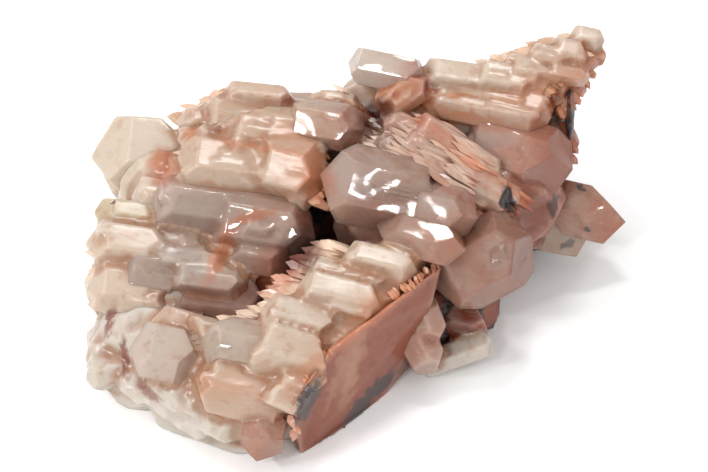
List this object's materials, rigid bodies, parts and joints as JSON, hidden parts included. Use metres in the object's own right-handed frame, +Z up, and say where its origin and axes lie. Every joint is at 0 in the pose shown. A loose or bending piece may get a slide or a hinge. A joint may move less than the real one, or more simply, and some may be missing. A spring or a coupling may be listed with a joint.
{
  "type": "calcite crystal specimen",
  "caption": "Hand-sized mineral specimen: stepped, parallel calcite crystals over a dark rock matrix, on a flat broken base.",
  "frame": {"origin": "middle of the bounding box on the flat underside it stands on", "axes": "+Z up, +X along the longest extent, to the right on the display side, which is seen from -Y and above"},
  "size_m": [0.1371, 0.1152, 0.0581],
  "materials": {
    "calcite": "translucent cream to grey-pink calcite with orange-red ends, glossy cleavage faces",
    "calcite_side": "translucent orange calcite, glossy",
    "rock": "dark granular iron-rich rock"
  },
  "bodies": {
    "root": {"crystal_cluster": "calcite", "side_crystal": "calcite_side", "matrix": "rock"}
  },
  "joints": []
}
